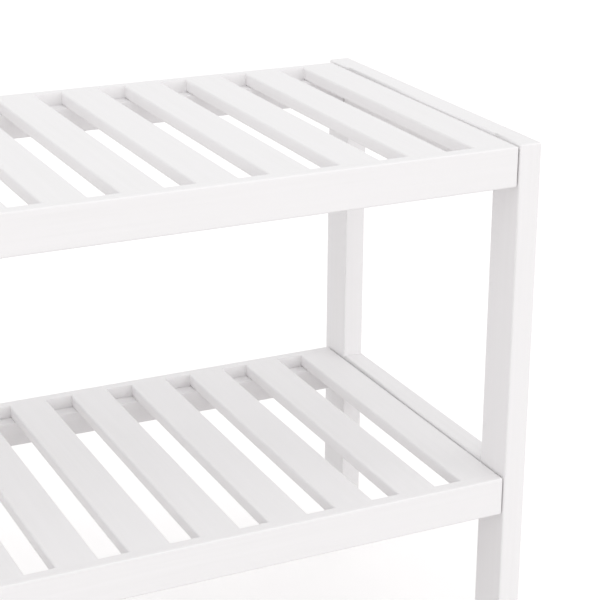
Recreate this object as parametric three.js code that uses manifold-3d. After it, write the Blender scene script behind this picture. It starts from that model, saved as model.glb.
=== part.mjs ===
// Entryway bench: two end frames joined by a slatted seat and, under it, a slatted shoe shelf.
// Units are millimetres with +Z up. The front faces -Y, and the origin is on the floor,
// under the middle of the bench.
import * as THREE from "three";
import { mergeVertices } from "three/addons/utils/BufferGeometryUtils.js";
import Module from "manifold-3d";

// ---- Driving dimensions ------------------------------------------------------------------

// The whole bench
const benchLength = 795; // outer face to outer face of the end frames, along X
const benchDepth = 340; // front face to rear face of the legs, along Y
const benchHeight = 500; // floor to the top of the end frames, along Z
const jointClearance = 0.3; // gap left between two pieces that touch or fit in each other
const arris = 1; // eased edge along every board

// End frames: two legs with an upper and a lower end rail between them
const legWidth = 20; // along X, also the thickness of the end rails
const legDepth = 40; // along Y
const endRailHeight = 40;
const lowerEndRailTop = 208; // height of the lower end rail's top face
const tenonThickness = 8;
const tenonHeight = 28;
const tenonLength = 30;

// Seat and shelf: the same slatted panel at two heights
const panelDrop = 1.5; // how far a panel's top lies under the top of the end rails beside it
const endGap = 1; // shadow gap between a panel's end and the end frame
const railThickness = 11;
const railHeight = 34;
const frontRailSetback = 1; // from the front face of the legs
const rearRailSetback = 6; // from the rear face of the legs
const slatCount = 13;
const slatWidth = 35;
const slatThickness = 11.5;
const bearerWidth = 14; // the bearer lies along the inside of a rail, under the slats' ends

// Connecting screws: countersunk, hex socket, through a leg and its tenon into a bearer's end
const screwLength = 50;
const screwDiameter = 6;
const screwHeadDiameter = 10;
const screwHeadHeight = 3;
const socketAcrossFlats = 4;
const socketDepth = 2;
const roundSides = 24;

// Foot glides: a plastic disc with a peg that is pushed into the leg
const glideDiameter = 16;
const glideThickness = 2.5;
const glidePegDiameter = 5;
const glidePegLength = 12;

// ---- Sizes worked out from them ----------------------------------------------------------

const legX = (benchLength - legWidth) / 2;
const legY = (benchDepth - legDepth) / 2;
const legFoot = glideThickness + jointClearance;
const insideLength = benchLength - 2 * legWidth; // between the end frames
const panelLength = insideLength - 2 * endGap;
const endRailLength = benchDepth - 2 * legDepth - 2 * jointClearance;
const endRailTops = { upper: benchHeight, lower: lowerEndRailTop };

// Y of each rail's middle, and of the bearer against its inner face
const railY = {
  front: -benchDepth / 2 + frontRailSetback + railThickness / 2,
  rear: benchDepth / 2 - rearRailSetback - railThickness / 2,
};
const railToBearer = (railThickness + bearerWidth) / 2 + jointClearance;
const bearerY = { front: railY.front + railToBearer, rear: railY.rear - railToBearer };
const bearerHeight = railHeight - slatThickness - jointClearance;
const bearerLength = insideLength - 2 * jointClearance;

// The slats fill the space between the two rails
const slatLength = railY.rear - railY.front - railThickness - 2 * jointClearance;
const slatY = (railY.front + railY.rear) / 2;
const slatPitch = (panelLength - slatWidth) / (slatCount - 1);

const panelTop = (level) => endRailTops[level] - panelDrop;
const bearerZ = (level) => panelTop(level) - railHeight + bearerHeight / 2;

// ---- Materials ---------------------------------------------------------------------------

const lacqueredWood = () =>
  new THREE.MeshStandardMaterial({ color: 0xf3f2ef, roughness: 0.42, metalness: 0 });
const glidePlastic = () =>
  new THREE.MeshStandardMaterial({ color: 0xd9d9d6, roughness: 0.55, metalness: 0 });
const platedSteel = () =>
  new THREE.MeshStandardMaterial({ color: 0xb4b6b8, roughness: 0.35, metalness: 1 });

// ---- Solids ------------------------------------------------------------------------------

const wasm = await Module();
wasm.setup();

function solid(geometry) {
  const bare = new THREE.BufferGeometry();
  const source = geometry.index ? geometry.toNonIndexed() : geometry;
  bare.setAttribute("position", source.getAttribute("position"));
  const merged = mergeVertices(bare, 1e-3);
  return new wasm.Manifold(
    new wasm.Mesh({
      numProp: 3,
      vertProperties: merged.attributes.position.array,
      triVerts: new Uint32Array(merged.index.array),
    }),
  );
}

function geometryOf(shape) {
  const { vertProperties, triVerts } = shape.getMesh();
  const geometry = new THREE.BufferGeometry();
  geometry.setAttribute("position", new THREE.BufferAttribute(vertProperties, 3));
  geometry.setIndex(new THREE.BufferAttribute(triVerts, 1));
  return geometry;
}

const axisZ = new THREE.Vector3(0, 0, 1);
const axes = { x: new THREE.Vector3(1, 0, 0), y: new THREE.Vector3(0, 1, 0), z: axisZ };

// A board centred on the origin: its length runs along one axis, with the long edges eased.
// Width is the section's size along the first of the other two axes, in the order X, Y, Z.
function board(axis, length, width, thickness) {
  const [w, t] = [width / 2, thickness / 2];
  const outline = new THREE.Shape([
    new THREE.Vector2(w - arris, -t),
    new THREE.Vector2(w, -t + arris),
    new THREE.Vector2(w, t - arris),
    new THREE.Vector2(w - arris, t),
    new THREE.Vector2(-w + arris, t),
    new THREE.Vector2(-w, t - arris),
    new THREE.Vector2(-w, -t + arris),
    new THREE.Vector2(-w + arris, -t),
  ]);
  const geometry = new THREE.ExtrudeGeometry(outline, { depth: length, bevelEnabled: false });
  geometry.translate(0, 0, -length / 2);
  if (axis === "x") geometry.rotateY(Math.PI / 2).rotateX(Math.PI / 2);
  if (axis === "y") geometry.rotateX(Math.PI / 2);
  return geometry;
}

// A straight round bar from one point along an axis, for pegs and for the holes that they fill.
function roundBar(axis, start, length, diameter) {
  const geometry = new THREE.CylinderGeometry(diameter / 2, diameter / 2, Math.abs(length), roundSides);
  geometry.applyQuaternion(new THREE.Quaternion().setFromUnitVectors(axes.y, axes[axis]));
  const middle = axes[axis].clone().multiplyScalar(length / 2).add(start);
  return geometry.translate(middle.x, middle.y, middle.z);
}

function block(sizeX, sizeY, sizeZ, x, y, z) {
  return new THREE.BoxGeometry(sizeX, sizeY, sizeZ).translate(x, y, z);
}

// ---- Where the pieces fit in each other --------------------------------------------------

const sides = { left: -1, right: 1 };
const ends = { front: -1, rear: 1 };
const levels = ["upper", "lower"];
const panelNames = { upper: "seat", lower: "shelf" };

// The line of a connecting screw, from the leg's outer face inwards, as a turned shape about X:
// grown is the clearance that a hole has over the screw.
function screwShape(level, end, side, grown) {
  const shank = screwDiameter / 2 + grown;
  const head = screwHeadDiameter / 2 + grown;
  const coneEnd = screwHeadHeight + grown;
  const outline = [
    new THREE.Vector2(0, -screwLength - grown),
    new THREE.Vector2(shank, -screwLength - grown),
    new THREE.Vector2(shank, -coneEnd),
    new THREE.Vector2(head, grown > 0 ? -grown : 0),
    new THREE.Vector2(head, grown),
    new THREE.Vector2(0, grown),
  ].filter((point, i, all) => i === 0 || point.distanceTo(all[i - 1]) > 0);
  const geometry = new THREE.LatheGeometry(outline, roundSides);
  geometry.rotateZ(sides[side] < 0 ? Math.PI / 2 : -Math.PI / 2);
  return geometry.translate((sides[side] * benchLength) / 2, bearerY[end], bearerZ(level));
}

function connectingScrew(level, end, side) {
  const socketRadius = socketAcrossFlats / Math.sqrt(3);
  const socket = new THREE.CylinderGeometry(socketRadius, socketRadius, 2 * socketDepth, 6);
  socket.rotateZ(Math.PI / 2);
  socket.translate((sides[side] * benchLength) / 2, bearerY[end], bearerZ(level));
  return geometryOf(solid(screwShape(level, end, side, 0)).subtract(solid(socket)));
}

function screwHole(level, end, side) {
  return solid(screwShape(level, end, side, jointClearance));
}

// A tenon on the end of an end rail. Grown by the clearance, it is the mortise in the leg.
function tenon(level, end, side, grown) {
  const reach = tenonLength + grown;
  const root = tenonLength / 2; // the tenon is rooted in the rail, so that the two are one piece
  const inwards = grown > 0 ? jointClearance : root;
  const shoulder = ends[end] * (benchDepth / 2 - legDepth);
  return block(
    tenonThickness + 2 * grown,
    reach + inwards,
    tenonHeight + 2 * grown,
    sides[side] * legX,
    shoulder + (ends[end] * (reach - inwards)) / 2,
    endRailTops[level] - endRailHeight / 2,
  );
}

function glidePeg(end, side, grown) {
  const start = new THREE.Vector3(sides[side] * legX, ends[end] * legY, glideThickness / 2);
  const reach = glideThickness / 2 + glidePegLength + grown;
  return roundBar("z", start, reach, glidePegDiameter + 2 * grown);
}

// ---- Pieces ------------------------------------------------------------------------------

function leg(end, side) {
  const height = benchHeight - legFoot;
  const post = board("z", height, legWidth, legDepth);
  post.translate(sides[side] * legX, ends[end] * legY, legFoot + height / 2);
  let shape = solid(post).subtract(solid(glidePeg(end, side, jointClearance)));
  for (const level of levels) {
    shape = shape.subtract(solid(tenon(level, end, side, jointClearance)));
    shape = shape.subtract(screwHole(level, end, side));
  }
  return geometryOf(shape);
}

function endRail(level, side) {
  const rail = board("y", endRailLength, legWidth, endRailHeight);
  rail.translate(sides[side] * legX, 0, endRailTops[level] - endRailHeight / 2);
  let shape = solid(rail);
  for (const end of Object.keys(ends)) {
    shape = shape.add(solid(tenon(level, end, side, 0)));
    shape = shape.subtract(screwHole(level, end, side));
  }
  return geometryOf(shape);
}

function rail(level, end) {
  const geometry = board("x", panelLength, railThickness, railHeight);
  return geometry.translate(0, railY[end], panelTop(level) - railHeight / 2);
}

function bearer(level, end) {
  const bar = board("x", bearerLength, bearerWidth, bearerHeight);
  bar.translate(0, bearerY[end], bearerZ(level));
  let shape = solid(bar);
  for (const side of Object.keys(sides)) shape = shape.subtract(screwHole(level, end, side));
  return geometryOf(shape);
}

function slat(level, index) {
  const x = (index - (slatCount - 1) / 2) * slatPitch;
  const geometry = board("y", slatLength, slatWidth, slatThickness);
  return geometry.translate(x, slatY, panelTop(level) - slatThickness / 2);
}

function footGlide(end, side) {
  const start = new THREE.Vector3(sides[side] * legX, ends[end] * legY, 0);
  const disc = roundBar("z", start, glideThickness, glideDiameter);
  return geometryOf(solid(disc).add(solid(glidePeg(end, side, 0))));
}

// ---- Assembly ----------------------------------------------------------------------------

const bench = new THREE.Group();

function place(name, geometry, material) {
  const mesh = new THREE.Mesh(geometry, material);
  mesh.name = name;
  bench.add(mesh);
}

for (const side of Object.keys(sides)) {
  for (const end of Object.keys(ends)) {
    place(`leg_${end}_${side}`, leg(end, side), lacqueredWood());
    place(`foot_glide_${end}_${side}`, footGlide(end, side), glidePlastic());
  }
  for (const level of levels) place(`end_rail_${level}_${side}`, endRail(level, side), lacqueredWood());
}

for (const level of levels) {
  const panel = panelNames[level];
  for (const end of Object.keys(ends)) {
    place(`${panel}_rail_${end}`, rail(level, end), lacqueredWood());
    place(`${panel}_bearer_${end}`, bearer(level, end), lacqueredWood());
    for (const side of Object.keys(sides)) {
      place(`${panel}_screw_${end}_${side}`, connectingScrew(level, end, side), platedSteel());
    }
  }
  for (let i = 0; i < slatCount; i += 1) {
    place(`${panel}_slat_${String(i + 1).padStart(2, "0")}`, slat(level, i), lacqueredWood());
  }
}

export default bench;
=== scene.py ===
# A white entryway bench: two open end frames carry a slatted seat and a slatted shoe shelf.
# Sizes are in metres. The front faces -Y and the floor is at the height of the frame's base.
import math
import random

import bmesh
import bpy
from mathutils import Matrix, Vector


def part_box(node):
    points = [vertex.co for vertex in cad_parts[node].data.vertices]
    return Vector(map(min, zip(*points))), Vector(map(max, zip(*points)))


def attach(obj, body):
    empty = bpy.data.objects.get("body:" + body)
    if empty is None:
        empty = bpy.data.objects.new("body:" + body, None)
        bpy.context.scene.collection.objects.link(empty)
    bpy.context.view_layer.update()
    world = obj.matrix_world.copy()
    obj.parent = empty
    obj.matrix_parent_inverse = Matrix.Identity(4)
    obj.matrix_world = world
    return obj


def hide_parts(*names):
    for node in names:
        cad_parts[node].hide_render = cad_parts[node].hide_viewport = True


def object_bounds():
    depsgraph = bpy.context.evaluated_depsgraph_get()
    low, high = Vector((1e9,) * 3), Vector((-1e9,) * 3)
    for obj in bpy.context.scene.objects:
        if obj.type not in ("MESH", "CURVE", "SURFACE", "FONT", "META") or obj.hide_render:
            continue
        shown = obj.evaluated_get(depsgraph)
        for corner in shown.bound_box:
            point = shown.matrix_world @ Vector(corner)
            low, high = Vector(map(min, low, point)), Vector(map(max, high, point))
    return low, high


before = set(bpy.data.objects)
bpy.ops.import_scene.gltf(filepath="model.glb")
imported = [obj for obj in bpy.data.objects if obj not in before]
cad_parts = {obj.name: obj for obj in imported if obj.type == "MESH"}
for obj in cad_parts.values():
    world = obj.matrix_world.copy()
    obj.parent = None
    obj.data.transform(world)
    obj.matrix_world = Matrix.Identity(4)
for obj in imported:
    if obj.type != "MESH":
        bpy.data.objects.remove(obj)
cad_low, cad_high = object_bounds()


# ---- Camera -------------------------------------------------------------------------------
# A long lens, looking down over the seat from in front of the bench. It stands to the left of
# the bench's right end, and the eye point is measured from that end's top front corner.
CORNER_TO_EYE = Vector((-0.7880, -1.1751, 0.3810))
HEADING = math.radians(25.97)  # from +Y towards +X
TILT = math.radians(-18.37)
ROLL = math.radians(0.5)
FOCAL_LENGTH, SENSOR_WIDTH = 108.33, 36.0  # millimetres
LENS_SHIFT = -0.1  # as a share of the sensor's width

lens = bpy.data.cameras.new("camera")
lens.lens = FOCAL_LENGTH
lens.sensor_width = SENSOR_WIDTH
lens.shift_y = LENS_SHIFT
lens.clip_start, lens.clip_end = 0.05, 100.0
look = Vector((math.sin(HEADING) * math.cos(TILT), math.cos(HEADING) * math.cos(TILT), math.sin(TILT)))
sideways = Vector((math.cos(HEADING), -math.sin(HEADING), 0.0))
upright = sideways.cross(look)
rightwards = math.cos(ROLL) * sideways + math.sin(ROLL) * upright
upwards = math.cos(ROLL) * upright - math.sin(ROLL) * sideways
eye = Vector((cad_high.x, cad_low.y, cad_high.z)) + CORNER_TO_EYE
camera = bpy.data.objects.new("camera", lens)
camera.matrix_world = Matrix.Translation(eye) @ Matrix((rightwards, upwards, -look)).transposed().to_4x4()
bpy.context.scene.collection.objects.link(camera)
bpy.context.scene.camera = camera


# ---- Legs ---------------------------------------------------------------------------------
# Four planed posts of solid wood, sprayed with a white satin lacquer. Their edges are eased,
# but stay square where an end rail meets them, so that the frame's faces run on flush. Each
# has two mortises, two countersunk holes for the connecting screws and a hole for its glide.
EDGE = 0.0015  # radius of an eased edge
SEAM = 0.00002  # what is left of a glued joint under the lacquer
LACQUER = (0.885, 0.872, 0.878, 1.0)
LACQUER_THIN = (0.862, 0.850, 0.853, 1.0)  # where the wood's grain shows through a little
GRAIN_DEEP, PORES_DEEP = 0.00006, 0.00002
BOARD_SLIDE = (3.1, 4.7, 5.9)  # how far a board's tone moves the grain over it
TENON_THICK, TENON_TALL, TENON_LONG = 0.008, 0.028, 0.030
TENON_ROOT = 0.004  # how far a tenon's block goes back in its own rail
JOINT_ROOM = 0.0003  # room that a mortise or a screw hole has over what goes in it
HEAD_ACROSS, HEAD_TALL, SHANK_ACROSS = 0.010, 0.003, 0.006
SCREW_HOLE_LONG = 0.060
PEG_ACROSS, PEG_LONG = 0.005, 0.012
CUT_PAST = 0.001  # a cutting shape starts this far outside the face that it cuts
SHARP = 1.0  # radians between the faces of a board's own edge, which a mere cut line hasn't
SAME = 0.00001  # two places closer than this are one
SIDES = ("left", "right")
ENDS = ("front", "rear")
PANELS = {"seat": "upper", "shelf": "lower"}  # each slatted panel, and the end rails beside it
chance = random.Random(11)  # a tone for each board


def lacquer(grain):
    """White satin lacquer over wood whose grain runs along one axis, barely showing through."""
    material = bpy.data.materials.new(f"white_lacquer_grain_{grain}")
    material.use_nodes = True
    tree = material.node_tree
    shader = tree.nodes["Principled BSDF"]
    shader.inputs["IOR"].default_value = 1.47
    shader.inputs["Coat Weight"].default_value = 0.12
    shader.inputs["Coat Roughness"].default_value = 0.28

    # Each board is cut from another part of the tree: its tone value slides the pattern.
    place = tree.nodes.new("ShaderNodeTexCoord")
    tone = tree.nodes.new("ShaderNodeAttribute")
    tone.attribute_name = "board_tone"
    slide = tree.nodes.new("ShaderNodeVectorMath")
    slide.operation = "MULTIPLY_ADD"
    slide.inputs[1].default_value = BOARD_SLIDE
    tree.links.new(tone.outputs["Vector"], slide.inputs[0])
    tree.links.new(place.outputs["Object"], slide.inputs[2])

    def streaks(across, along, detail):
        """Noise with so many features to a metre across the grain and along it."""
        stretch = tree.nodes.new("ShaderNodeMapping")
        stretch.inputs["Scale"].default_value = [along if axis == grain else across for axis in "xyz"]
        noise = tree.nodes.new("ShaderNodeTexNoise")
        noise.inputs["Scale"].default_value = 1.0
        noise.inputs["Detail"].default_value = detail
        noise.inputs["Distortion"].default_value = 0.4
        tree.links.new(slide.outputs["Vector"], stretch.inputs["Vector"])
        tree.links.new(stretch.outputs["Vector"], noise.inputs["Vector"])
        return noise.outputs["Fac"]

    def in_range(value, low, high):
        """The noise, most of which is from 0.3 to 0.7, spread from low to high."""
        fit = tree.nodes.new("ShaderNodeMapRange")
        fit.inputs["From Min"].default_value, fit.inputs["From Max"].default_value = 0.3, 0.7
        fit.inputs["To Min"].default_value, fit.inputs["To Max"].default_value = low, high
        tree.links.new(value, fit.inputs["Value"])
        return fit.outputs["Result"]

    grain_lines = streaks(across=260.0, along=7.0, detail=3.0)
    pores = streaks(across=1400.0, along=60.0, detail=2.0)
    clouds = streaks(across=9.0, along=5.0, detail=2.0)

    colour = tree.nodes.new("ShaderNodeMix")
    colour.data_type = "RGBA"
    colour.inputs["A"].default_value = LACQUER
    colour.inputs["B"].default_value = LACQUER_THIN
    thin = tree.nodes.new("ShaderNodeMath")
    thin.operation = "MULTIPLY"
    tree.links.new(in_range(grain_lines, low=0.0, high=1.0), thin.inputs[0])
    tree.links.new(in_range(clouds, low=0.25, high=1.0), thin.inputs[1])
    tree.links.new(thin.outputs["Value"], colour.inputs["Factor"])
    tree.links.new(colour.outputs["Result"], shader.inputs["Base Color"])
    tree.links.new(in_range(clouds, low=0.36, high=0.46), shader.inputs["Roughness"])

    relief = None
    for height, depth in ((grain_lines, GRAIN_DEEP), (pores, PORES_DEEP)):
        bump = tree.nodes.new("ShaderNodeBump")
        bump.inputs["Strength"].default_value = 0.5
        bump.inputs["Distance"].default_value = depth
        tree.links.new(height, bump.inputs["Height"])
        if relief:
            tree.links.new(relief, bump.inputs["Normal"])
        relief = bump.outputs["Normal"]
    tree.links.new(relief, shader.inputs["Normal"])
    return material


lacquer_along = {axis: lacquer(axis) for axis in "xyz"}


def shade(mesh):
    """Faces square to an axis stay flat, and all others are smooth."""
    for face in mesh.polygons:
        face.use_smooth = max(abs(v) for v in face.normal) < 0.9999


def finish_board(name, mesh, grain, *nodes):
    """Gives a board its tone and its lacquer, and lets it stand for its CAD nodes."""
    shade(mesh)
    if "board_tone" not in mesh.attributes:
        tones = mesh.attributes.new("board_tone", "FLOAT", "POINT")
        tones.data.foreach_set("value", [chance.random()] * len(mesh.vertices))
    mesh.materials.clear()
    mesh.materials.append(lacquer_along[grain])
    board = bpy.data.objects.new(name, mesh)
    bpy.context.scene.collection.objects.link(board)
    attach(board, "root")
    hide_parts(*nodes)


def eased_box(low, high, cuts_z=(), keeps_square=lambda a, b: False, radius=EDGE):
    """A box with rounded edges, cut at some heights. keeps_square(a, b) says of the edge
    between two corners that it isn't rounded."""
    work = bmesh.new()
    place = Matrix.Translation((low + high) / 2) @ Matrix.Diagonal((*(high - low), 1.0))
    bmesh.ops.create_cube(work, size=1.0, matrix=place)
    for height in cuts_z:
        everything = work.verts[:] + work.edges[:] + work.faces[:]
        bmesh.ops.bisect_plane(work, geom=everything, plane_co=(0, 0, height), plane_no=(0, 0, 1))
    rounded = [
        edge
        for edge in work.edges
        if edge.calc_face_angle() > SHARP and not keeps_square(edge.verts[0].co, edge.verts[1].co)
    ]
    if rounded:
        bmesh.ops.bevel(work, geom=rounded, offset=radius, segments=4, profile=0.5, affect="EDGES")
    bmesh.ops.recalc_face_normals(work, faces=work.faces)
    mesh = bpy.data.meshes.new("board")
    work.to_mesh(mesh)
    work.free()
    return mesh


def square_box(low, high):
    return eased_box(low, high, keeps_square=lambda a, b: True)


def turned(profile, start, axis, sides=32):
    """A solid turned about an axis, from points of (distance along it, radius)."""
    work = bmesh.new()
    place = Matrix.Translation(start) @ axis.to_track_quat("Z", "Y").to_matrix().to_4x4()
    angles = [2 * math.pi * k / sides for k in range(sides)]
    rings = []
    for along, radius in profile:
        points = [Vector((radius * math.cos(a), radius * math.sin(a), along)) for a in angles]
        rings.append([work.verts.new(place @ point) for point in points])
    for one, other in zip(rings, rings[1:]):
        for k in range(sides):
            work.faces.new((one[k], one[(k + 1) % sides], other[(k + 1) % sides], other[k]))
    work.faces.new(rings[0])
    work.faces.new(rings[-1])
    bmesh.ops.recalc_face_normals(work, faces=work.faces)
    mesh = bpy.data.meshes.new("turned")
    work.to_mesh(mesh)
    work.free()
    return mesh


def joined(mesh, others, operation="DIFFERENCE"):
    """The mesh with the others cut out of it, or with them added to it."""
    block = bpy.data.objects.new("block", mesh)
    used = [block]
    for other in others:
        tool = bpy.data.objects.new("tool", other)
        cut = block.modifiers.new("cut", "BOOLEAN")
        cut.object, cut.operation, cut.solver = tool, operation, "EXACT"
        used.append(tool)
    for thing in used:
        bpy.context.scene.collection.objects.link(thing)
    bpy.context.view_layer.update()
    result = bpy.data.meshes.new_from_object(block.evaluated_get(bpy.context.evaluated_depsgraph_get()))
    for thing in used:
        bpy.data.objects.remove(thing)
    return result


def end_rail_span(level, side):
    """Lowest and highest corners of an end rail between its two legs, without its tenons."""
    low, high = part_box(f"end_rail_{level}_{side}")
    low.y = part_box(f"leg_front_{side}")[1].y + SEAM
    high.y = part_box(f"leg_rear_{side}")[0].y - SEAM
    return low, high


def tenon(level, end, side, room, rooted):
    """A block for a tenon or, with some room around it, for its mortise. It also reaches back
    past the shoulder, so that it overlaps what it is added to or cut from."""
    low, high = end_rail_span(level, side)
    middle = (low + high) / 2
    half = Vector((TENON_THICK / 2 + room, 0.0, TENON_TALL / 2 + room))
    block_low, block_high = middle - half, middle + half
    reach = TENON_LONG + room
    if end == "front":
        block_low.y, block_high.y = low.y - reach, low.y + rooted
    else:
        block_low.y, block_high.y = high.y - rooted, high.y + reach
    return square_box(block_low, block_high)


def screw_line(panel, end, side):
    """Where a connecting screw's head meets the leg's outer face, and the way in from there."""
    low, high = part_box(f"{panel}_screw_{end}_{side}")
    middle = (low + high) / 2
    if side == "left":
        return Vector((low.x, middle.y, middle.z)), Vector((1.0, 0.0, 0.0))
    return Vector((high.x, middle.y, middle.z)), Vector((-1.0, 0.0, 0.0))


def screw_hole(panel, end, side):
    """The countersunk hole for a connecting screw, as a solid to cut away."""
    shank, wide = SHANK_ACROSS / 2 + JOINT_ROOM, HEAD_ACROSS / 2 + JOINT_ROOM
    sink = HEAD_TALL + JOINT_ROOM
    profile = [(-CUT_PAST, wide), (0.0, wide), (sink, shank), (SCREW_HOLE_LONG, shank)]
    return turned(profile, *screw_line(panel, end, side))


for side in SIDES:
    rail_spans = [[corner.z for corner in end_rail_span(level, side)] for level in PANELS.values()]
    for end in ENDS:
        low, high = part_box(f"leg_{end}_{side}")
        inner_y = high.y if end == "front" else low.y

        def beside_a_rail(a, b):
            at_rail = any(bottom < (a.z + b.z) / 2 < top + EDGE for bottom, top in rail_spans)
            return at_rail and max(abs(a.y - inner_y), abs(b.y - inner_y)) < EDGE / 2

        cuts = [z for span in rail_spans for z in span if z < high.z - EDGE]
        holes = [screw_hole(panel, end, side) for panel in PANELS]
        holes += [tenon(level, end, side, JOINT_ROOM, CUT_PAST) for level in PANELS.values()]
        middle = (low + high) / 2
        peg_foot = Vector((middle.x, middle.y, low.z - CUT_PAST))
        peg_hole = [(0.0, PEG_ACROSS / 2 + JOINT_ROOM), (PEG_LONG, PEG_ACROSS / 2 + JOINT_ROOM)]
        holes.append(turned(peg_hole, peg_foot, Vector((0, 0, 1))))
        post = joined(eased_box(low, high, cuts, beside_a_rail), holes)
        finish_board(f"{end}_{side}_leg", post, "z", f"leg_{end}_{side}")


# ---- End rails ----------------------------------------------------------------------------
# Two boards on edge in each end frame, upper and lower, between the front and the rear leg.
# They are as thick as the legs are wide, with a tenon at each end that is glued in the leg.
# The connecting screws of the panel beside a rail pass through its tenons.


def at_the_shoulder(a, b):
    """Whether two corners are at the same end of the rail."""
    return abs(a.y - b.y) < SAME


for side in SIDES:
    for panel, level in PANELS.items():
        board = eased_box(*end_rail_span(level, side), keeps_square=at_the_shoulder)
        board = joined(board, [tenon(level, end, side, 0.0, TENON_ROOT) for end in ENDS], "UNION")
        holes = [screw_hole(panel, end, side) for end in ENDS]
        finish_board(f"{level}_{side}_end_rail", joined(board, holes), "y", f"end_rail_{level}_{side}")


# ---- Rails and bearers --------------------------------------------------------------------
# Each panel has a rail along its front and one along its rear, which hide the ends of the
# slats, and a bearer glued along the inside of each rail. The rails stop short of the end
# frames and leave a shadow gap; the bearers run on and take the connecting screws.
for panel in PANELS:
    for end in ENDS:
        rail = f"{panel}_rail_{end}"
        low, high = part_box(rail)
        slat_side_y = high.y if end == "front" else low.y

        def meets_the_slats(a, b):
            off_slat_side = max(abs(a.y - slat_side_y), abs(b.y - slat_side_y))
            return off_slat_side < EDGE and min(a.z, b.z) > high.z - EDGE

        finish_board(f"{panel}_{end}_rail", eased_box(low, high, keeps_square=meets_the_slats), "x", rail)

        # The bearer is glued to the rail, and the slats lie on it.
        bearer = f"{panel}_bearer_{end}"
        low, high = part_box(bearer)
        high.z += JOINT_ROOM - SEAM
        if end == "front":
            low.y = slat_side_y + SEAM
        else:
            high.y = slat_side_y - SEAM
        holes = [screw_hole(panel, end, side) for side in SIDES]
        bar = joined(eased_box(low, high, radius=EDGE / 2), holes)
        finish_board(f"{panel}_{end}_bearer", bar, "x", bearer)


# ---- Slats --------------------------------------------------------------------------------
# Thirteen flat slats to a panel, planed with rounded long edges and cut square at the ends.
# They lie on the bearers between the two rails, flush with the rails' top edges.
SLAT_SEAM = 0.00003  # left between a slat's end and the rail
SLAT_SEEDS = {"seat": 3, "shelf": 8}  # for the tones of a panel's slats
EDGE_STEPS = 4  # flats that round off a slat's edge


def new_tree(name, **inputs):
    """A Geometry Nodes tree with these named inputs, and the identifier of each one's socket."""
    tree = bpy.data.node_groups.new(name, "GeometryNodeTree")
    tree.interface.new_socket("Geometry", in_out="INPUT", socket_type="NodeSocketGeometry")
    tree.interface.new_socket("Geometry", in_out="OUTPUT", socket_type="NodeSocketGeometry")
    idents = {}
    for size, kind in inputs.items():
        socket = tree.interface.new_socket(size, in_out="INPUT", socket_type="NodeSocket" + kind)
        idents[size] = socket.identifier
    return tree, idents


def grown(tree, idents, places, values):
    """What the tree makes on these places with these sizes, as a plain mesh."""
    start = bpy.data.meshes.new("places")
    start.from_pydata(places, [], [])
    host = bpy.data.objects.new("host", start)
    bpy.context.scene.collection.objects.link(host)
    grower = host.modifiers.new("grow", "NODES")
    grower.node_group = tree
    for size, value in values.items():
        grower[idents[size]] = value
    bpy.context.view_layer.update()
    mesh = bpy.data.meshes.new_from_object(host.evaluated_get(bpy.context.evaluated_depsgraph_get()))
    host.modifiers.clear()
    bpy.data.objects.remove(host)
    return mesh


slats, slat_inputs = new_tree(
    "slats",
    count="Int",
    first_place="Vector",
    step="Vector",
    width="Float",
    thickness="Float",
    half_length="Vector",
    edge_radius="Float",
    seed="Int",
    finish="Material",
)
add, link = slats.nodes.new, slats.links.new
given = add("NodeGroupInput")

# One slat: its section, with rounded corners, carried from its front end to its rear end.
section = add("GeometryNodeCurvePrimitiveQuadrilateral")
link(given.outputs["width"], section.inputs["Width"])
link(given.outputs["thickness"], section.inputs["Height"])
eased = add("GeometryNodeFilletCurve")
eased.mode = "POLY"
eased.inputs["Count"].default_value = EDGE_STEPS
link(section.outputs["Curve"], eased.inputs["Curve"])
link(given.outputs["edge_radius"], eased.inputs["Radius"])
front_end = add("ShaderNodeVectorMath")
front_end.operation = "SCALE"
front_end.inputs["Scale"].default_value = -1.0
link(given.outputs["half_length"], front_end.inputs[0])
run = add("GeometryNodeCurvePrimitiveLine")
link(front_end.outputs["Vector"], run.inputs["Start"])
link(given.outputs["half_length"], run.inputs["End"])
one_slat = add("GeometryNodeCurveToMesh")
one_slat.inputs["Fill Caps"].default_value = True
link(run.outputs["Curve"], one_slat.inputs["Curve"])
link(eased.outputs["Curve"], one_slat.inputs["Profile Curve"])

# The row: a slat at each place, and a tone for each slat.
row = add("GeometryNodeMeshLine")
link(given.outputs["count"], row.inputs["Count"])
link(given.outputs["first_place"], row.inputs["Start Location"])
link(given.outputs["step"], row.inputs["Offset"])
laid = add("GeometryNodeInstanceOnPoints")
link(row.outputs["Mesh"], laid.inputs["Points"])
link(one_slat.outputs["Mesh"], laid.inputs["Instance"])
each_tone = add("FunctionNodeRandomValue")
link(given.outputs["seed"], each_tone.inputs["Seed"])
toned = add("GeometryNodeStoreNamedAttribute")
toned.domain = "INSTANCE"
toned.inputs["Name"].default_value = "board_tone"
link(laid.outputs["Instances"], toned.inputs["Geometry"])
link(each_tone.outputs[1], toned.inputs["Value"])  # its float output

real = add("GeometryNodeRealizeInstances")
link(toned.outputs["Geometry"], real.inputs["Geometry"])
painted = add("GeometryNodeSetMaterial")
link(real.outputs["Geometry"], painted.inputs["Geometry"])
link(given.outputs["finish"], painted.inputs["Material"])
link(painted.outputs["Geometry"], add("NodeGroupOutput").inputs["Geometry"])

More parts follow.
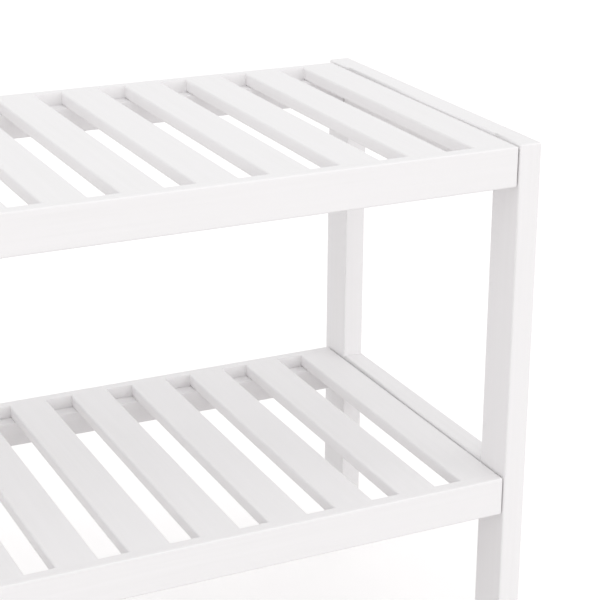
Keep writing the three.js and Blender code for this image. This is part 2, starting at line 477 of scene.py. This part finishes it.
for panel, seed in SLAT_SEEDS.items():
    slat_nodes = sorted(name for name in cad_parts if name.startswith(f"{panel}_slat_"))
    low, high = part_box(slat_nodes[0])
    next_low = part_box(slat_nodes[1])[0]
    between_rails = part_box(f"{panel}_rail_rear")[0].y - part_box(f"{panel}_rail_front")[1].y
    sizes = {
        "count": len(slat_nodes),
        "first_place": (low + high) / 2,
        "step": (next_low.x - low.x, 0.0, 0.0),
        "width": high.x - low.x,
        "thickness": high.z - low.z,
        "half_length": (0.0, between_rails / 2 - SLAT_SEAM, 0.0),
        "edge_radius": EDGE,
        "seed": seed,
        "finish": lacquer_along["y"],
    }
    finish_board(f"{panel}_slats", grown(slats, slat_inputs, [], sizes), "y", *slat_nodes)


# ---- Connecting screws --------------------------------------------------------------------
# Eight zinc-plated steel screws hold the bench together, driven with a hex key. Each goes in
# through a leg's outer face and the tenon in it, and bites in a bearer's end.
SOCKET_ACROSS, SOCKET_DEEP = 0.004, 0.002
RIM_ROUND, RIM_TALL = 0.0003, 0.0002  # the eased rim of a head
POINT_LONG, POINT_HALF = 0.004, 0.001  # a screw's tapered point
MOTTLE_SPREAD = 0.08  # how far the roughness strays on each side of its middle
SCREW_SEED = 5  # for the turn of each socket
STEEL = (0.60, 0.61, 0.62, 1.0)
ZINC_DULL = (0.50, 0.51, 0.52, 1.0)


def plain_finish(name, colour, other_colour, roughness, metallic, fineness, relief):
    """A finish mottled from one colour to another: metal plating or moulded plastic."""
    material = bpy.data.materials.new(name)
    material.use_nodes = True
    tree = material.node_tree
    shader = tree.nodes["Principled BSDF"]
    shader.inputs["Metallic"].default_value = metallic
    place = tree.nodes.new("ShaderNodeTexCoord")
    mottle = tree.nodes.new("ShaderNodeTexNoise")
    mottle.inputs["Scale"].default_value = fineness
    mottle.inputs["Detail"].default_value = 3.0
    tree.links.new(place.outputs["Object"], mottle.inputs["Vector"])
    mixed = tree.nodes.new("ShaderNodeMix")
    mixed.data_type = "RGBA"
    mixed.inputs["A"].default_value = colour
    mixed.inputs["B"].default_value = other_colour
    tree.links.new(mottle.outputs["Fac"], mixed.inputs["Factor"])
    tree.links.new(mixed.outputs["Result"], shader.inputs["Base Color"])
    worn = tree.nodes.new("ShaderNodeMapRange")
    worn.inputs["To Min"].default_value = roughness - MOTTLE_SPREAD
    worn.inputs["To Max"].default_value = roughness + MOTTLE_SPREAD
    tree.links.new(mottle.outputs["Fac"], worn.inputs["Value"])
    tree.links.new(worn.outputs["Result"], shader.inputs["Roughness"])
    bump = tree.nodes.new("ShaderNodeBump")
    bump.inputs["Strength"].default_value = 0.4
    bump.inputs["Distance"].default_value = relief
    tree.links.new(mottle.outputs["Fac"], bump.inputs["Height"])
    tree.links.new(bump.outputs["Normal"], shader.inputs["Normal"])
    return material


hardware, hardware_inputs = new_tree(
    "hardware",
    piece="Object",
    way="Vector",
    turn_seed="Int",
    finish="Material",
)
add, link = hardware.nodes.new, hardware.links.new
given = add("NodeGroupInput")
model = add("GeometryNodeObjectInfo")
link(given.outputs["piece"], model.inputs["Object"])

# Each copy is aimed the way that it goes in, and left at any turn about its own axis.
aimed = add("FunctionNodeAlignRotationToVector")
aimed.axis = "Z"
link(given.outputs["way"], aimed.inputs["Vector"])
any_turn = add("FunctionNodeRandomValue")
any_turn.inputs[3].default_value = 2 * math.pi  # its float maximum
link(given.outputs["turn_seed"], any_turn.inputs["Seed"])
own_turn = add("FunctionNodeAxisAngleToRotation")
own_turn.inputs["Axis"].default_value = (0.0, 0.0, 1.0)
link(any_turn.outputs[1], own_turn.inputs["Angle"])  # its float output
facing = add("FunctionNodeRotateRotation")
facing.rotation_space = "LOCAL"
link(aimed.outputs["Rotation"], facing.inputs["Rotation"])
link(own_turn.outputs["Rotation"], facing.inputs["Rotate By"])

driven = add("GeometryNodeInstanceOnPoints")
link(given.outputs["Geometry"], driven.inputs["Points"])
link(model.outputs["Geometry"], driven.inputs["Instance"])
link(facing.outputs["Rotation"], driven.inputs["Rotation"])
real = add("GeometryNodeRealizeInstances")
link(driven.outputs["Instances"], real.inputs["Geometry"])
plated = add("GeometryNodeSetMaterial")
link(real.outputs["Geometry"], plated.inputs["Geometry"])
link(given.outputs["finish"], plated.inputs["Material"])
link(plated.outputs["Geometry"], add("NodeGroupOutput").inputs["Geometry"])


def fitted(mesh, places, way, seed, finish):
    """A piece that is made from the origin up, put at each place and pointed one way."""
    piece = bpy.data.objects.new("piece", mesh)
    values = {"piece": piece, "way": way, "turn_seed": seed, "finish": finish}
    result = grown(hardware, hardware_inputs, places, values)
    bpy.data.objects.remove(piece)
    return result


def finish_hardware(name, meshes, slot, *nodes):
    """Makes the meshes one piece, which stands for its CAD nodes if it has any."""
    work = bmesh.new()
    for mesh in meshes:
        work.from_mesh(mesh)
    whole = bpy.data.meshes.new(name)
    work.to_mesh(whole)
    work.free()
    shade(whole)
    whole.materials.append(meshes[0].materials[0])
    thing = bpy.data.objects.new(name, whole)
    bpy.context.scene.collection.objects.link(thing)
    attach(thing, "root")
    if nodes:
        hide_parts(*nodes)


zinc = plain_finish(
    "zinc_plate",
    STEEL,
    ZINC_DULL,
    roughness=0.32,
    metallic=1.0,
    fineness=900.0,
    relief=0.00001,
)
origin, up = Vector((0, 0, 0)), Vector((0, 0, 1))
screw_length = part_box("seat_screw_front_left")[1].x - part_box("seat_screw_front_left")[0].x
shank, head = SHANK_ACROSS / 2, HEAD_ACROSS / 2
screw_outline = [
    (0.0, head - RIM_ROUND),
    (RIM_TALL, head),
    (HEAD_TALL, shank),
    (screw_length - POINT_LONG, shank),
    (screw_length, POINT_HALF),
]
screw = turned(screw_outline, origin, up)
socket_radius = SOCKET_ACROSS / math.sqrt(3)
socket = turned([(-CUT_PAST, socket_radius), (SOCKET_DEEP, socket_radius)], origin, up, sides=6)
screw = joined(screw, [socket])
screws = []
for side in SIDES:
    lines = [screw_line(panel, end, side) for panel in PANELS for end in ENDS]
    starts = [start for start, way in lines]
    way_in = lines[0][1]
    screws.append(fitted(screw, starts, way_in, SCREW_SEED, zinc))
screw_nodes = sorted(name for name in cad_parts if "_screw_" in name)
finish_hardware("connecting_screws", screws, "plated_steel", *screw_nodes)


# ---- Slat screws --------------------------------------------------------------------------
# Small steel screws with round heads and a cross recess, two to a slat, driven up through the
# bearers from below. Only their heads show, on the underside of the bearers.
# A head's outline: how far along the screw, and how far out from its middle
ROUND_HEAD = [(0.0, 0.0035), (-0.0004, 0.0034), (-0.0009, 0.0031), (-0.0013, 0.0024), (-0.0016, 0.0012)]
HALF_CROSS_LONG, HALF_CROSS_WIDE, CROSS_DEEP = 0.0018, 0.00045, 0.0009
SLAT_SCREW_SEED = 7  # for the turn of each cross

round_head = turned(ROUND_HEAD, origin, up, sides=20)
crown = ROUND_HEAD[-1][0]
arms = []
for half_x, half_y in ((HALF_CROSS_LONG, HALF_CROSS_WIDE), (HALF_CROSS_WIDE, HALF_CROSS_LONG)):
    arm_low = Vector((-half_x, -half_y, crown - CUT_PAST))
    arm_high = Vector((half_x, half_y, crown + CROSS_DEEP))
    arms.append(square_box(arm_low, arm_high))
round_head = joined(round_head, arms)
places = []
for panel in PANELS:
    for slat in sorted(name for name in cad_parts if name.startswith(f"{panel}_slat_")):
        slat_x = sum(corner.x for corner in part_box(slat)) / 2
        for end in ENDS:
            low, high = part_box(f"{panel}_bearer_{end}")
            places.append((slat_x, (low.y + high.y) / 2, low.z))
finish_hardware("slat_screws", [fitted(round_head, places, up, SLAT_SCREW_SEED, zinc)], "plated_steel")


# ---- Foot glides --------------------------------------------------------------------------
# A disc of moulded grey plastic under each leg, with a peg that is pushed up in a hole in the
# leg's end. It keeps the lacquered wood off a wet floor and lets the bench slide.
GLIDE = (0.62, 0.61, 0.59, 1.0)
GLIDE_SCUFFED = (0.50, 0.49, 0.47, 1.0)
GLIDE_SEED = 2  # for the turn of each glide
DISC_RIM = [(0.0008, 0.0), (0.0002, 0.0003), (0.0, 0.0009)]  # how far in and how far up it is
PEG_TIP_TALL, PEG_TIP_EASE = 0.001, 0.0008

plastic = plain_finish(
    "glide_plastic",
    GLIDE,
    GLIDE_SCUFFED,
    roughness=0.5,
    metallic=0.0,
    fineness=1200.0,
    relief=0.00002,
)
leg_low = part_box("leg_front_left")[0]
glide_low, glide_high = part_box("foot_glide_front_left")
disc, disc_top = (glide_high.x - glide_low.x) / 2, leg_low.z - JOINT_ROOM
glide_outline = [(up_by, disc - in_by) for in_by, up_by in DISC_RIM]
glide_outline += [
    (disc_top, disc),
    (disc_top, PEG_ACROSS / 2),
    (glide_high.z - PEG_TIP_TALL, PEG_ACROSS / 2),
    (glide_high.z, PEG_ACROSS / 2 - PEG_TIP_EASE),
]
glide = turned(glide_outline, origin, up)
glide_nodes = sorted(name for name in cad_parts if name.startswith("foot_glide_"))
places = []
for node in glide_nodes:
    low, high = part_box(node)
    places.append(((low.x + high.x) / 2, (low.y + high.y) / 2, 0.0))
glides = fitted(glide, places, up, GLIDE_SEED, plastic)
finish_hardware("foot_glides", [glides], "glide_plastic", *glide_nodes)


# ---- Floor and light ----------------------------------------------------------------------
# A white studio floor, lit softly all round, with a big softbox up on the front left and a
# smaller one low on the front right. The floor looks brighter than the light that it returns,
# as a sweep does when it is exposed to run out to pure white.
FLOOR_HALF = 20.0
FLOOR_DROP = 0.0001  # keeps the floor clear of the glides that stand on it
FLOOR_WHITE = (0.812, 0.798, 0.797, 1.0)
FLOOR_GLOW = 0.30  # seen by the camera only
AMBIENT = 0.88  # of the white that the camera sees behind the floor
SOFTBOXES = {
    "left_softbox": {"stands": (-1.0, -1.0, 1.0), "strength": 0.48, "spread": 90.0},
    "right_softbox": {"stands": (1.0, -1.0, 0.4), "strength": 0.58, "spread": 50.0},
}

far, floor_z = FLOOR_HALF, cad_low.z - FLOOR_DROP
floor_mesh = bpy.data.meshes.new("floor")
floor_corners = [(-far, -far, floor_z), (far, -far, floor_z), (far, far, floor_z), (-far, far, floor_z)]
floor_mesh.from_pydata(floor_corners, [], [(0, 1, 2, 3)])
paper = bpy.data.materials.new("white_paper")
paper.use_nodes = True
nodes, links = paper.node_tree.nodes, paper.node_tree.links
paper_shader = nodes["Principled BSDF"]
paper_shader.inputs["Base Color"].default_value = FLOOR_WHITE
paper_shader.inputs["Roughness"].default_value = 0.9
paper_shader.inputs["Specular IOR Level"].default_value = 0.0
paper_shader.inputs["Emission Color"].default_value = (1.0, 1.0, 1.0, 1.0)
path = nodes.new("ShaderNodeLightPath")
glow = nodes.new("ShaderNodeMath")
glow.operation = "MULTIPLY"
glow.inputs[1].default_value = FLOOR_GLOW
links.new(path.outputs["Is Camera Ray"], glow.inputs[0])
links.new(glow.outputs["Value"], paper_shader.inputs["Emission Strength"])
floor_mesh.materials.append(paper)
floor = bpy.data.objects.new("floor", floor_mesh)
bpy.context.scene.collection.objects.link(floor)

world = bpy.data.worlds.new("studio")
world.use_nodes = True
bpy.context.scene.world = world
nodes, links = world.node_tree.nodes, world.node_tree.links
sky = nodes["Background"]
sky.inputs["Color"].default_value = (1.0, 1.0, 1.0, 1.0)
path = nodes.new("ShaderNodeLightPath")
strength = nodes.new("ShaderNodeMapRange")
strength.inputs["To Min"].default_value = AMBIENT
strength.inputs["To Max"].default_value = 1.0
links.new(path.outputs["Is Camera Ray"], strength.inputs["Value"])
links.new(strength.outputs["Result"], sky.inputs["Strength"])

for name, softbox in SOFTBOXES.items():
    sun = bpy.data.lights.new(name, "SUN")
    sun.energy = softbox["strength"]
    sun.angle = math.radians(softbox["spread"])
    lamp = bpy.data.objects.new(name, sun)
    lamp.matrix_world = Vector(softbox["stands"]).to_track_quat("Z", "Y").to_matrix().to_4x4()
    lamp.visible_glossy = False
    bpy.context.scene.collection.objects.link(lamp)

bpy.context.scene.view_settings.view_transform = "Standard"
